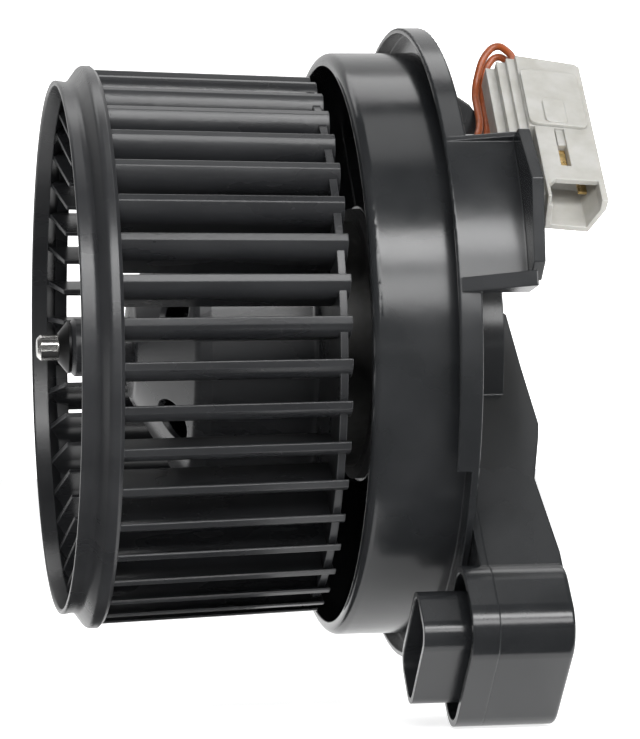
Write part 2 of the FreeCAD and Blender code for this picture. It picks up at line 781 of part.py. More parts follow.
def draw_rounded(sketch, across, up, corner):
    """A rounded rectangle about (spout_distance, 0); its sizes and corner radius are expressions."""
    half_x, half_y, radius = 10.0, 8.0, 3.0
    places = [(-half_x + radius, -half_y), (half_x - radius, -half_y), (half_x, -half_y + radius),
              (half_x, half_y - radius), (half_x - radius, half_y), (-half_x + radius, half_y),
              (-half_x, half_y - radius), (-half_x, -half_y + radius)]
    points = [FreeCAD.Vector(x + 100.0, y, 0) for x, y in places]
    centres = [(1, -1), (1, 1), (-1, 1), (-1, -1)]
    up_axis = FreeCAD.Vector(0, 0, 1)
    lines = []
    arcs = []
    for side in range(4):
        lines.append(sketch.addGeometry(Part.LineSegment(points[2 * side], points[2 * side + 1])))
        x_sign, y_sign = centres[side]
        middle = FreeCAD.Vector(100.0 + x_sign * (half_x - radius), y_sign * (half_y - radius), 0)
        start = math.pi / 2 * (side - 1)
        circle = Part.Circle(middle, up_axis, radius)
        arcs.append(sketch.addGeometry(Part.ArcOfCircle(circle, start, start + math.pi / 2)))
    for side in range(4):
        sketch.addConstraint(Sketcher.Constraint("Tangent", lines[side], 2, arcs[side], 1))
        sketch.addConstraint(Sketcher.Constraint("Tangent", arcs[side], 2, lines[(side + 1) % 4], 1))
        sketch.addConstraint(Sketcher.Constraint("Horizontal" if side % 2 == 0 else "Vertical", lines[side]))
    for side in range(1, 4):
        sketch.addConstraint(Sketcher.Constraint("Equal", arcs[0], arcs[side]))
    number = sketch.addConstraint(Sketcher.Constraint("Radius", arcs[0], radius))
    sketch.setExpression("Constraints[%d]" % number, bound(corner))
    for line, kind, place, text in (
            (lines[1], "DistanceX", 110.0, "spout_distance + (%s) / 2" % across),
            (lines[3], "DistanceX", 90.0, "spout_distance - (%s) / 2" % across),
            (lines[2], "DistanceY", 8.0, "(%s) / 2" % up),
            (lines[0], "DistanceY", -8.0, "-(%s) / 2" % up)):
        number = sketch.addConstraint(Sketcher.Constraint(kind, -1, 1, line, 1, place))
        sketch.setExpression("Constraints[%d]" % number, bound(text))


def make_duct_spigot():
    """Front half of the spout: arm plate, collar and the spigot that stands out of it."""
    body = new_body("duct_spigot")
    back = "plate_x + plate_wall"
    collar = new_sketch(body, "collar", "YZ_Plane", "spout_front_x")
    draw_rounded(collar, "spout_width", "spout_length", "spout_corner")
    pad(body, collar, "joint_x - spout_front_x")
    hollow = new_sketch(body, "collar_hollow", "YZ_Plane", "spout_front_x - 1")
    draw_rounded(hollow, "spout_width - 2 * duct_wall", "spout_length - 2 * duct_wall",
                 "spout_corner - duct_wall")
    pocket(body, hollow, back + " - spout_front_x + 1")
    plate = new_sketch(body, "arm_plate", "YZ_Plane", back)
    draw_outline(plate, [("cap_radius + 1", "-arm_width / 2"), ("spout_distance - 6", "-arm_width / 2"),
                         ("spout_distance - 6", "arm_width / 2"), ("cap_radius + 1", "arm_width / 2")])
    pad(body, plate, "joint_x - plate_x - plate_wall")
    spigot = new_sketch(body, "spigot", "YZ_Plane", "spigot_front_x")
    draw_rounded(spigot, "spigot_width", "spigot_length", "spigot_corner")
    pad(body, spigot, "joint_x - spigot_front_x")
    bore = new_sketch(body, "spigot_bore", "YZ_Plane", "spigot_front_x - 1")
    draw_rounded(bore, "spigot_width - 2 * spigot_wall", "spigot_length - 2 * spigot_wall",
                 "spigot_corner - spigot_wall")
    pocket(body, bore, "joint_x - spigot_front_x + 2")
    body.Placement = arm_placement()
    keep(body, "duct_spigot")


def arm_profile(wall):
    """Side view of the arm, as (x, distance from the axis) corners, drawn in by a wall."""
    skin = " - %s" % wall
    return [
        ("joint_x", "2 + %s" % wall),
        ("cap_x" + skin, "2 + %s" % wall),
        ("arm_rear_x - 2.4" + skin, "8 + %s" % wall),
        ("arm_rear_x - 1.4" + skin, "28"),
        ("arm_rear_x" + skin, "48"),
        ("arm_rear_x - 0.9" + skin, "53"),
        ("arm_rear_x - 4.2" + skin, "67"),
        ("spout_rear_x" + skin, "spout_distance - 15"),
        ("spout_rear_x" + skin, "spout_distance"),
        ("joint_x", "spout_distance"),
    ]


def make_duct_cover():
    """Shell behind the motor: round cap, arm duct and the rear half of the spout."""
    body = new_body("duct_cover")
    back = "plate_x + plate_wall"
    ring = new_sketch(body, "cap", "YZ_Plane", back)
    draw_circle(ring, "0", "0", "cap_radius")
    pad(body, ring, "cap_x - plate_x - plate_wall")
    arm = new_sketch(body, "arm", "XY_Plane", "0")
    draw_outline(arm, arm_profile("0"))
    pad(body, arm, "arm_width", symmetric=True)
    spout = new_sketch(body, "spout", "YZ_Plane", "joint_x")
    draw_rounded(spout, "spout_width", "spout_length", "spout_corner")
    pad(body, spout, "spout_rear_x - joint_x")
    cap_hollow = new_sketch(body, "cap_hollow", "YZ_Plane", "plate_x")
    draw_circle(cap_hollow, "0", "0", "cap_radius - duct_wall")
    pocket(body, cap_hollow, "cap_x - duct_wall - plate_x")
    arm_hollow = new_sketch(body, "arm_hollow", "XY_Plane", "0")
    draw_outline(arm_hollow, arm_profile("duct_wall"))
    pocket(body, arm_hollow, "arm_width - 2 * duct_wall", symmetric=True)
    spout_hollow = new_sketch(body, "spout_hollow", "YZ_Plane", "joint_x - 1")
    draw_rounded(spout_hollow, "spout_width - 2 * duct_wall", "spout_length - 2 * duct_wall",
                 "spout_corner - duct_wall")
    pocket(body, spout_hollow, "spout_rear_x - joint_x - duct_wall + 1")
    add_cover_ears(body)
    inlet = new_sketch(body, "wire_hole", "XY_Plane", "-cap_radius - 4")
    draw_circle(inlet, "wire_x", "0", "grommet_radius + 0.05")
    shell = pocket(body, inlet, "10")

    def spout_end(edge):
        box = edge.BoundBox
        return box.XMin > size("spout_rear_x") - 0.05 and box.YMax > size("spout_distance") + 1

    round_edges(body, shell, 1.2, spout_end)
    body.Placement = arm_placement()
    keep(body, "duct_cover")


def add_cover_ears(body):
    """Three screw ears round the cap, each with its hole."""
    back = "plate_x + plate_wall"
    for number, angle in enumerate(screw_angles()):
        turn = math.radians(180.0 - angle - (180.0 - size("arm_angle")))
        across = "screw_circle * %.6f" % math.cos(turn)
        up = "screw_circle * %.6f" % math.sin(turn)
        ear = new_sketch(body, "cover_ear_%d" % number, "YZ_Plane", back)
        draw_circle(ear, across, up, "cover_ear_radius")
        pad(body, ear, "cover_ear_depth")
        hole = new_sketch(body, "cover_hole_%d" % number, "YZ_Plane", "plate_x")
        draw_circle(hole, across, up, "screw_radius + 0.1")
        pocket(body, hole, "plate_wall + cover_ear_depth + 1")


def make_cover_screws():
    """Three pan-head screws that hold the duct cover on the housing."""
    head_x = size("plate_x") + size("plate_wall") + size("cover_ear_depth")
    screws = []
    for angle in screw_angles():
        place = polar(0, size("screw_circle"), angle)
        end = place + FreeCAD.Vector(head_x - 9.0, 0, 0)
        shank = Part.makeCylinder(size("screw_radius"), 9.0, end, X_AXIS)
        head = Part.makeCylinder(3.4, 2.2, place + FreeCAD.Vector(head_x, 0, 0), X_AXIS)
        rim = [edge for edge in head.Edges if edge.BoundBox.XMin > head_x + 2.1]
        head = head.makeFillet(1.0, rim)
        slot = Part.makeBox(1.4, 0.9, 4.2)
        slot.translate(place + FreeCAD.Vector(head_x + 1.2, -0.45, -2.1))
        cross = Part.makeBox(1.4, 4.2, 0.9)
        cross.translate(place + FreeCAD.Vector(head_x + 1.2, -2.1, -0.45))
        screws.append(shank.fuse(head).cut(slot).cut(cross).removeSplitter())
    solid_feature("cover_screws", Part.Compound(screws))


# ---------------------------------------------------------------- connector

# The connector is drawn with its socket downward: X runs across its front face, Y into it and Z up it.

def connector_placement():
    base = FreeCAD.Vector(size("connector_x"), size("connector_y"), size("connector_z"))
    turn = FreeCAD.Rotation(FreeCAD.Vector(0, 1, 0), size("connector_turn"))
    lean = FreeCAD.Rotation(X_AXIS, size("connector_lean"))
    return FreeCAD.Placement(base, turn.multiply(lean))


def block_between(lows, highs):
    """A plain block from its low corner to its high corner."""
    spans = [high - low for low, high in zip(lows, highs)]
    return Part.makeBox(spans[0], spans[1], spans[2], FreeCAD.Vector(*lows))


def rounded_block(lows, highs, radius):
    """A block whose four edges along Y are rounded."""
    block = block_between(lows, highs)
    depth = highs[1] - lows[1]
    edges = [edge for edge in block.Edges if abs(edge.BoundBox.YLength - depth) < 0.01]
    return block.makeFillet(radius, edges)


def make_connector():
    """Two-way socket housing: lower block with the socket, upper block with stepped ribs, and a foot."""
    body = new_body("connector_body")
    lower = new_sketch(body, "lower_block", "XY_Plane", "-7.5")
    draw_outline(lower, [("0", "0"), ("connector_width", "0"), ("connector_width", "3.0"),
                         ("connector_width - 3.2", "connector_depth"), ("1.2", "connector_depth")])
    pad(body, lower, "shoulder_up + 8.0")
    upper = new_sketch(body, "upper_block", "XZ_Plane", "-connector_depth - 1.4")
    draw_outline(upper, [("-1.5", "shoulder_up"), ("connector_width", "shoulder_up"),
                         ("connector_width", "connector_up - 1.2"),
                         ("connector_width - 1.2", "connector_up"), ("-1.5", "connector_up + 1.5")])
    pad(body, upper, "connector_depth + 1.4")
    ribs = new_sketch(body, "side_ribs", "XY_Plane", "shoulder_up - 2.5")
    draw_outline(ribs, [("-1.0", "1.2"), ("-3.8", "1.2"), ("-3.8", "2.6"), ("-6.2", "2.6"), ("-6.2", "5.0"),
                        ("-8.6", "5.0"), ("-8.6", "connector_depth"), ("-1.0", "connector_depth")])
    pad(body, ribs, "connector_up - shoulder_up + 4.0")
    foot = new_sketch(body, "foot", "XZ_Plane", "-8")
    draw_outline(foot, [("1.4", "-4"), ("1.4", "8"), ("-3.0", "8"), ("-2.2", "-4")])
    pad(body, foot, "5.5")

    socket = new_sketch(body, "socket", "XY_Plane", "-8.5")
    right = "connector_width - 1.5"
    back = "connector_depth - 1.4"
    draw_outline(socket, [("1.6", "1.5"), (right, "1.5"), (right, "3.4"), (right + " - 2.3", back),
                          ("2.5", back)])
    pocket(body, socket, "socket_depth + 1.0")
    mouth = new_sketch(body, "mouth", "XZ_Plane", "-3")
    draw_outline(mouth, [("0.9", "-9"), ("0.9", "-2.6"), ("2.9", "0"), ("connector_width - 1.6", "0.6"),
                         ("connector_width - 1.6", "-9")])
    pocket(body, mouth, "4")
    window = new_sketch(body, "window", "XZ_Plane", "-3")
    draw_outline(window, [("5.1", "6"), ("7.8", "6"), ("7.8", "shoulder_up"), ("5.1", "shoulder_up")])
    pocket(body, window, "4")
    tab = new_sketch(body, "window_tab", "XZ_Plane", "-3.2")
    top = "shoulder_up + 0.1"
    draw_outline(tab, [("5.7", "16"), ("7.9", "16"), ("7.9", top), ("5.7", top)])
    pad(body, tab, "2.4")
    body.Placement = connector_placement()
    keep(body, "connector_body")


def make_connector_inserts():
    """Raised cover with its latch on the front face, and the two blade terminals in the socket."""
    low = size("shoulder_up") + 0.3
    cover = rounded_block((-1.3, -1.0, low), (14.3, 0.0, low + 24.0), 2.0)
    latch = rounded_block((3.0, -1.5, low + 0.5), (8.8, -1.0, low + 10.6), 1.4)
    solid_feature("connector_cover", cover.fuse(latch).removeSplitter(), connector_placement())
    left = block_between((5.3, 2.2, 3.0), (7.6, 3.0, 15.5))
    right = block_between((10.2, 5.0, 2.0), (12.5, 5.8, 8.0))
    solid_feature("terminal_left", left, connector_placement())
    solid_feature("terminal_right", right, connector_placement())


# ---------------------------------------------------------------- wires

def wire_routes():
    """The two leads, point by point, from the connector's top to the brush plate."""
    near = [(-1.2, 3.0, 53.6), (-1.2, 3.0, 58.5), (-4.8, 3.4, 64.0), (-8.6, 6.0, 60.0), (-10.2, 12.8, 54.0),
            (-10.2, 12.8, 38.0), (-12.5, 12.8, 30.0)]
    far = [(-0.6, 5.7, 53.6), (-0.6, 5.7, 58.0), (-4.4, 6.0, 62.5), (-7.4, 8.6, 59.0), (-7.9, 14.2, 53.0),
           (-7.9, 14.2, 38.0), (-10.2, 14.8, 30.0)]
    inner = size("brush_front_x") - 0.8
    frame = connector_placement()
    hole = size("wire_angle")
    routes = []
    for outer, side, spread in ((near, -1, 5.0), (far, 1, -5.0)):
        x = size("wire_x") + side * size("wire_spread")
        points = [frame.multVec(FreeCAD.Vector(*point)) for point in outer]
        points.append(polar(x, 58.0, hole))
        points.append(polar(x, 34.0, hole))
        points.append(polar(12.4, 24.0, hole + spread))
        points.append(polar(9.0, 20.0, hole + 2 * spread))
        points.append(polar(inner, 20.0, hole + 2 * spread))
        routes.append(points)
    return routes


def tube_along(points, radius, label):
    """Straight runs joined by tangent arcs, each arc as large as its two runs allow."""
    edges = []
    start = points[0]
    radii = []
    for before, corner, after in zip(points, points[1:], points[2:]):
        back = before.sub(corner)
        onward = after.sub(corner)
        turn = math.pi - back.getAngle(onward)
        reach = 0.45 * min(back.Length, onward.Length)
        radii.append(reach / math.tan(turn / 2))
        first = corner.add(back.multiply(reach / back.Length))
        last = corner.add(onward.multiply(reach / onward.Length))
        inward = first.add(last).multiply(0.5).sub(corner)
        drop = radii[-1] / math.cos(turn / 2) - radii[-1]
        middle = corner.add(inward.multiply(drop / inward.Length))
        edges.append(Part.LineSegment(start, first).toShape())
        edges.append(Part.Arc(first, middle, last).toShape())
        start = last
    edges.append(Part.LineSegment(start, points[-1]).toShape())
    path = Part.Wire(edges)
    circle = Part.Circle(points[0], points[1].sub(points[0]), radius)
    tube = path.makePipeShell([Part.Wire(circle.toShape())], True, True)
    length = path.Length
    expected = math.pi * radius * radius * length
    print("%s: length %.1f, radii %s, volume ratio %.4f" % (
        label, length, ["%.1f" % value for value in radii], tube.Volume / expected))
    return tube


def make_wires():
    near, far = wire_routes()
    solid_feature("wire_near", tube_along(near, size("wire_radius"), "wire_near"))
    solid_feature("wire_far", tube_along(far, size("wire_radius"), "wire_far"))


def make_grommet():
    """Rubber grommet in the cap's wall, with a hole for each wire."""
    hole = size("wire_angle")
    outward = polar(0, 1.0, hole)
    plug = Part.makeCylinder(size("grommet_radius"), 5.6, polar(size("wire_x"), 39.0, hole), outward)
    collar = Part.makeCylinder(4.8, 1.6, polar(size("wire_x"), 42.8, hole), outward)
    grommet = plug.fuse(collar)
    for offset in (-size("wire_spread"), size("wire_spread")):
        start = polar(size("wire_x") + offset, 36.0, hole)
        grommet = grommet.cut(Part.makeCylinder(size("wire_radius") + 0.02, 12.0, start, outward))
    solid_feature("wire_grommet", grommet.removeSplitter())


make_inlet_ring()
make_blades()
make_wheel_back()
make_hub()
make_shaft()
make_motor_can()
make_end_cap()
make_bearings()
make_magnets()
make_armature()
make_brush_gear()
make_isolator()
make_housing()
make_duct_spigot()
make_duct_cover()
make_cover_screws()
make_connector()
make_connector_inserts()
make_grommet()
make_wires()


# ---------------------------------------------------------------- checks and export

doc.recompute()
for item in doc.Objects:
    if "Invalid" in item.State or "Error" in item.State:
        raise RuntimeError("%s failed: %s" % (item.Name, item.State))
os.makedirs("parts", exist_ok=True)
for piece in subparts:
    shape = piece.Shape
    if shape.isNull() or not shape.isValid() or not shape.Solids:
        raise RuntimeError("%s has no valid solid" % piece.Label)
    shape.exportStep("parts/%s.step" % piece.Label)
    print("%-24s solids %3d  volume %9.1f" % (piece.Label, len(shape.Solids), shape.Volume))
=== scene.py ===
import json
import math

import bmesh
import bpy
from mathutils import Matrix, Vector


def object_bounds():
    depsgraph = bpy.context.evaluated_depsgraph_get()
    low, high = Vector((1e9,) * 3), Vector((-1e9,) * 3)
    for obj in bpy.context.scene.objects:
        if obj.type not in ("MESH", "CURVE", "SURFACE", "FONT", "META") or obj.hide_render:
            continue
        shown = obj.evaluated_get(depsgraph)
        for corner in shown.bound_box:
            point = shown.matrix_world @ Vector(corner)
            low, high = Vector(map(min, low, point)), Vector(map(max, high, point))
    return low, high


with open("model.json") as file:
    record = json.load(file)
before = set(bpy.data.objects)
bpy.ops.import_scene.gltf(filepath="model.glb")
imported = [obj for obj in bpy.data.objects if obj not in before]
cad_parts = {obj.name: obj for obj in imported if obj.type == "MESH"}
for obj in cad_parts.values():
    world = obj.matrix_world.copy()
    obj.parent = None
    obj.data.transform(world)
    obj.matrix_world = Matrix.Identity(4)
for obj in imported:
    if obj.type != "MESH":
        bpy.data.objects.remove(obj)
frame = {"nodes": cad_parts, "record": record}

# Blower motor assembly: a squirrel-cage wheel on an enclosed motor, its flanged housing, the cooling
# duct with its spigot, and the wired connector. The wheel's axis is X, and every length is in metres.

CAD_BOX = [list(corner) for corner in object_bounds()]
NODES = frame["nodes"]
SLOT_OF_NODE = {item["node"]: item["material_slot"] for item in frame["record"]["subparts"]}


# ---------------------------------------------------------------- materials

MOULD_EDGE = 0.0005          # radius of a moulded edge


class Finish:
    """One procedural material: a Principled shader and the nodes that feed it."""

    def __init__(self, name, colour, roughness, **sockets):
        self.material = bpy.data.materials.new(name)
        self.material.use_nodes = True
        self.tree = self.material.node_tree
        self.shader = self.tree.nodes["Principled BSDF"]
        self.shader.inputs["Base Color"].default_value = (*colour, 1.0)
        self.shader.inputs["Roughness"].default_value = roughness
        for socket, value in sockets.items():
            self.shader.inputs[socket.replace("_", " ")].default_value = value
        self.coordinates = self.tree.nodes.new("ShaderNodeTexCoord").outputs["Object"]

    def node(self, kind, **inputs):
        """A new node; each input is a socket to link or a value to set."""
        made = self.tree.nodes.new(kind)
        for name, value in inputs.items():
            self.feed(value, made.inputs[name.replace("_", " ")])
        return made

    def feed(self, value, socket):
        if isinstance(value, bpy.types.NodeSocket):
            self.tree.links.new(value, socket)
        else:
            socket.default_value = value

    def stretched(self, along):
        """Object coordinates, with each axis scaled."""
        return self.node("ShaderNodeMapping", Vector=self.coordinates, Scale=along).outputs["Vector"]

    def noise(self, per_metre, detail=3.0, along=(1.0, 1.0, 1.0)):
        """Noise with that many cells to the metre."""
        return self.node("ShaderNodeTexNoise", Vector=self.stretched(along), Scale=per_metre,
                         Detail=detail).outputs["Fac"]

    def cells(self, per_metre):
        """Distance to the nearest point of a random cell pattern."""
        return self.node("ShaderNodeTexVoronoi", Vector=self.coordinates, Scale=per_metre).outputs["Distance"]

    def turned(self, lines_per_metre, jitter=2.0):
        """Fine rings round the wheel's axis, as a lathe or a mould's turning leaves them."""
        wave = self.node("ShaderNodeTexWave", Vector=self.coordinates, Scale=lines_per_metre,
                         Distortion=jitter, Detail=2.0)
        wave.bands_direction = "X"
        return wave.outputs["Fac"]

    def span(self, value, start, end, low, high):
        """Map start..end on to low..high, and hold the ends."""
        return self.node("ShaderNodeMapRange", Value=value, **{
            "From_Min": start, "From_Max": end, "To_Min": low, "To_Max": high}).outputs["Result"]

    def mix(self, factor, first, second):
        """Blend from the first colour to the second."""
        mixed = self.tree.nodes.new("ShaderNodeMix")
        mixed.data_type = "RGBA"
        self.feed(factor, mixed.inputs[0])
        self.feed(first if isinstance(first, bpy.types.NodeSocket) else (*first, 1.0), mixed.inputs[6])
        self.feed(second if isinstance(second, bpy.types.NodeSocket) else (*second, 1.0), mixed.inputs[7])
        return mixed.outputs[2]

    def math(self, operation, first, second):
        """One step of arithmetic on two sockets or values."""
        step = self.tree.nodes.new("ShaderNodeMath")
        step.operation = operation
        self.feed(first, step.inputs[0])
        self.feed(second, step.inputs[1])
        return step.outputs[0]

    def wear_and_painted_highlight_edge(self, radius, width=0.25):
        """1 on sharp outer and inner edges and 0 on faces, from how far rounding turns the normal. The
        finishes lighten the colour there: partly wear, partly a painted edge highlight.
        """
        rounded = self.softened(radius)
        flat = self.tree.nodes.new("ShaderNodeNewGeometry").outputs["Normal"]
        agree = self.tree.nodes.new("ShaderNodeVectorMath")
        agree.operation = "DOT_PRODUCT"
        self.tree.links.new(rounded, agree.inputs[0])
        self.tree.links.new(flat, agree.inputs[1])
        return self.span(agree.outputs["Value"], 1.0, 1.0 - width, 0.0, 1.0)

    def softened(self, radius):
        """The surface's normal with every edge rounded by that radius."""
        bevel = self.node("ShaderNodeBevel", Radius=radius)
        bevel.samples = 6
        return bevel.outputs["Normal"]

    def relief(self, layers, edge_radius=0.0):
        """Stack bump layers of (height, strength, depth in metres) on rounded edges."""
        normal = self.softened(edge_radius) if edge_radius else None
        for height, strength, depth in layers:
            bump = self.node("ShaderNodeBump", Height=height, Strength=strength, Distance=depth)
            if normal is not None:
                self.tree.links.new(normal, bump.inputs["Normal"])
            normal = bump.outputs["Normal"]
        self.tree.links.new(normal, self.shader.inputs["Normal"])

    def paint(self, colour=None, roughness=None):
        """Feed the shader's colour and roughness."""
        if colour is not None:
            self.tree.links.new(colour, self.shader.inputs["Base Color"])
        if roughness is not None:
            self.tree.links.new(roughness, self.shader.inputs["Roughness"])


def wheel_plastic():
    """Satin black glass-filled nylon: fine fibre grain, faint flow mottling, and pale edges that are partly
    wear and partly a painted highlight.
    """
    finish = Finish("wheel_plastic", (0.014, 0.015, 0.016), 0.3, Specular_IOR_Level=0.5)
    flow = finish.noise(60.0, 4.0, (0.35, 1.0, 1.0))
    fibres = finish.noise(2600.0, 2.0, (0.35, 1.0, 1.0))
    dust = finish.noise(900.0, 5.0)
    colour = finish.mix(finish.span(flow, 0.35, 0.65, 0.0, 1.0), (0.014, 0.0145, 0.016),
                        (0.022, 0.0228, 0.0245))
    colour = finish.mix(finish.span(dust, 0.62, 0.78, 0.0, 0.3), colour, (0.06, 0.059, 0.057))
    # Pale edges: partly wear, partly a painted highlight where the edges catch the light.
    colour = finish.mix(finish.math("MULTIPLY", finish.wear_and_painted_highlight_edge(MOULD_EDGE), 0.6), colour,
                        (0.12, 0.122, 0.126))
    finish.paint(colour, finish.span(flow, 0.3, 0.7, 0.24, 0.34))
    finish.relief([(fibres, 0.18, 0.00008), (finish.noise(320.0, 2.0), 0.12, 0.0002)], MOULD_EDGE)
    return finish


def housing_plastic():
    """Glossy black moulding: slight orange peel, draw lines, hairline scratches and a little dust."""
    finish = Finish("housing_plastic", (0.014, 0.015, 0.016), 0.2, Specular_IOR_Level=0.52)
    cloud = finish.noise(38.0, 4.0)
    scratch = finish.noise(420.0, 2.0, (0.04, 1.0, 1.0))
    specks = finish.cells(1500.0)
    colour = finish.mix(finish.span(cloud, 0.35, 0.65, 0.0, 1.0), (0.011, 0.012, 0.013),
                        (0.018, 0.019, 0.0205))
    colour = finish.mix(finish.span(specks, 0.0, 0.12, 0.22, 0.0), colour, (0.16, 0.155, 0.15))
    # Slightly paler edges: partly wear, partly a painted edge highlight.
    colour = finish.mix(finish.math("MULTIPLY", finish.wear_and_painted_highlight_edge(MOULD_EDGE), 0.2), colour,
                        (0.09, 0.092, 0.095))
    smooth = finish.span(cloud, 0.3, 0.7, 0.16, 0.25)
    finish.paint(colour, finish.math("ADD", smooth, finish.span(scratch, 0.7, 0.78, 0.0, 0.06)))
    finish.relief([(finish.noise(210.0, 2.0), 0.10, 0.00025), (finish.noise(2400.0, 1.0), 0.05, 0.00005),
                   (scratch, 0.015, 0.00003)], 0.0006)
    return finish


def steel(name, colour, roughness, lines_per_metre, stain):
    """Turned or drawn steel: fine rings, uneven polish and faint stains."""
    finish = Finish(name, colour, roughness, Metallic=1.0)
    rings = finish.turned(lines_per_metre)
    patches = finish.noise(160.0, 5.0)
    grit = finish.noise(3500.0, 2.0)
    finish.paint(finish.mix(finish.span(patches, 0.45, 0.75, 0.0, 0.7), colour, stain),
                 finish.span(patches, 0.3, 0.7, roughness * 0.7, roughness * 1.4))
    finish.relief([(rings, 0.12, 0.00004), (grit, 0.08, 0.00003)], 0.0003)
    return finish


def laminations():
    """Stacked sheet steel: bands across the stack and darker oxide between them."""
    finish = Finish("lamination", (0.3, 0.29, 0.28), 0.45, Metallic=1.0)
    sheets = finish.turned(1000.0, 0.0)
    rust = finish.noise(420.0, 4.0)
    colour = finish.mix(finish.span(sheets, 0.0, 0.35, 1.0, 0.0), (0.32, 0.31, 0.3), (0.08, 0.075, 0.07))
    finish.paint(finish.mix(finish.span(rust, 0.6, 0.8, 0.0, 0.5), colour, (0.2, 0.11, 0.06)),
                 finish.span(rust, 0.3, 0.7, 0.35, 0.6))
    finish.relief([(sheets, 0.35, 0.0001)], 0.0002)
    return finish


def copper_winding():
    """Enamelled wire or copper bars: fine strands with a warm varnish."""
    finish = Finish("copper", (0.62, 0.27, 0.12), 0.3, Metallic=1.0, Coat_Weight=0.4, Coat_Roughness=0.15)
    strands = finish.turned(900.0, 6.0)
    varnish = finish.noise(240.0, 3.0)
    finish.paint(finish.mix(finish.span(varnish, 0.4, 0.7, 0.0, 0.8), (0.68, 0.31, 0.14), (0.36, 0.13, 0.06)),
                 finish.span(varnish, 0.3, 0.7, 0.22, 0.42))
    finish.relief([(strands, 0.4, 0.0002)], 0.0002)
    return finish


def grained(name, dark, light, roughness, grain_per_metre, grain_depth, **sockets):
    """A matt pressed or sintered material: two tones in small grains."""
    finish = Finish(name, dark, roughness, **sockets)
    grains = finish.noise(grain_per_metre, 4.0)
    patches = finish.noise(grain_per_metre / 12, 3.0)
    colour = finish.mix(finish.span(grains, 0.35, 0.65, 0.0, 1.0), dark, light)
    finish.paint(finish.mix(finish.span(patches, 0.4, 0.7, 0.0, 0.5), colour, dark),
                 finish.span(grains, 0.3, 0.7, roughness * 0.85, roughness * 1.15))
    finish.relief([(grains, 0.3, grain_depth)], 0.0003)
    return finish


def brass():
    """Drawn brass strip: faint lines along it and darker tarnish."""
    finish = Finish("brass", (0.72, 0.5, 0.2), 0.25, Metallic=1.0)
    drawn = finish.noise(300.0, 3.0, (1.0, 1.0, 0.05))
    tarnish = finish.noise(500.0, 4.0)
    finish.paint(finish.mix(finish.span(tarnish, 0.45, 0.7, 0.0, 0.8), (0.78, 0.56, 0.24), (0.34, 0.24, 0.1)),
                 finish.span(tarnish, 0.3, 0.7, 0.2, 0.42))
    finish.relief([(drawn, 0.1, 0.00005)], 0.0002)
    return finish


def connector_nylon():
    """Natural nylon: milky, slightly translucent, with soft mould texture and faint warm patches."""
    finish = Finish("connector_nylon", (0.80, 0.80, 0.77), 0.42, Subsurface_Weight=0.25,
                    Subsurface_Scale=0.003, Specular_IOR_Level=0.5)
    finish.shader.inputs["Subsurface Radius"].default_value = (1.0, 0.9, 0.75)
    cloud = finish.noise(150.0, 4.0)
    peel = finish.noise(900.0, 3.0)
    colour = finish.mix(finish.span(cloud, 0.35, 0.65, 0.0, 1.0), (0.40, 0.395, 0.375), (0.34, 0.333, 0.305))
    # Paler edges: partly wear, partly a painted edge highlight.
    colour = finish.mix(finish.math("MULTIPLY", finish.wear_and_painted_highlight_edge(0.0004), 0.5), colour, (0.5, 0.5, 0.48))
    finish.paint(colour, finish.span(cloud, 0.3, 0.7, 0.34, 0.5))
    finish.relief([(peel, 0.15, 0.00008), (cloud, 0.1, 0.0002)], MOULD_EDGE)
    return finish


def wire_insulation():
    """Orange-brown PVC: a slight sheen, drawn lines along it and scuffs."""
    finish = Finish("wire_orange", (0.5, 0.13, 0.03), 0.38, Coat_Weight=0.15, Coat_Roughness=0.3)
    scuff = finish.noise(700.0, 4.0)
    colour = finish.mix(finish.span(scuff, 0.45, 0.7, 0.0, 0.7), (0.30, 0.07, 0.018), (0.15, 0.036, 0.012))
    finish.paint(colour, finish.span(scuff, 0.3, 0.7, 0.3, 0.5))
    finish.relief([(finish.noise(1800.0, 2.0), 0.12, 0.00005)])
    return finish


def rubber():
    """Matt black rubber with a fine grain."""
    return grained("black_rubber", (0.018, 0.018, 0.019), (0.03, 0.03, 0.031), 0.72, 1500.0, 0.00006)


FINISHES = {
    "wheel_plastic": wheel_plastic,
    "housing_plastic": housing_plastic,
    "shaft_steel": lambda: steel("shaft_steel", (0.66, 0.65, 0.63), 0.22, 1400.0, (0.42, 0.40, 0.37)),
    "spring_steel": lambda: steel("spring_steel", (0.035, 0.035, 0.036), 0.4, 900.0, (0.02, 0.019, 0.018)),
    "can_steel": lambda: steel("can_steel", (0.12, 0.12, 0.118), 0.38, 500.0, (0.07, 0.068, 0.064)),
    "screw_steel": lambda: steel("screw_steel", (0.30, 0.30, 0.29), 0.34, 700.0, (0.14, 0.13, 0.11)),
    "bronze": lambda: grained("bronze", (0.42, 0.27, 0.13), (0.58, 0.40, 0.22), 0.42, 2600.0, 0.00008,
                              Metallic=1.0),
    "ferrite": lambda: grained("ferrite", (0.05, 0.05, 0.053), (0.1, 0.1, 0.105), 0.55, 1500.0, 0.0001),
    "lamination": laminations,
    "copper": copper_winding,
    "phenolic": lambda: grained("phenolic", (0.10, 0.055, 0.03), (0.19, 0.11, 0.06), 0.5, 900.0, 0.00006),
    "brass": brass,
    "carbon": lambda: grained("carbon", (0.03, 0.03, 0.031), (0.07, 0.07, 0.072), 0.6, 2400.0, 0.00008),
    "black_rubber": rubber,
    "washer_plastic": lambda: grained("washer_plastic", (0.55, 0.5, 0.38), (0.7, 0.66, 0.54), 0.45, 700.0,
                                      0.00005),
    "connector_nylon": connector_nylon,
    "wire_orange": wire_insulation,
}


def paint_nodes():
    """Give every CAD node the finish of its slot in the record."""
    made = {slot: build().material for slot, build in FINISHES.items()}
    for name, node in NODES.items():
        node.data.materials.clear()
        node.data.materials.append(made[SLOT_OF_NODE[name]])


# ---------------------------------------------------------------- studio

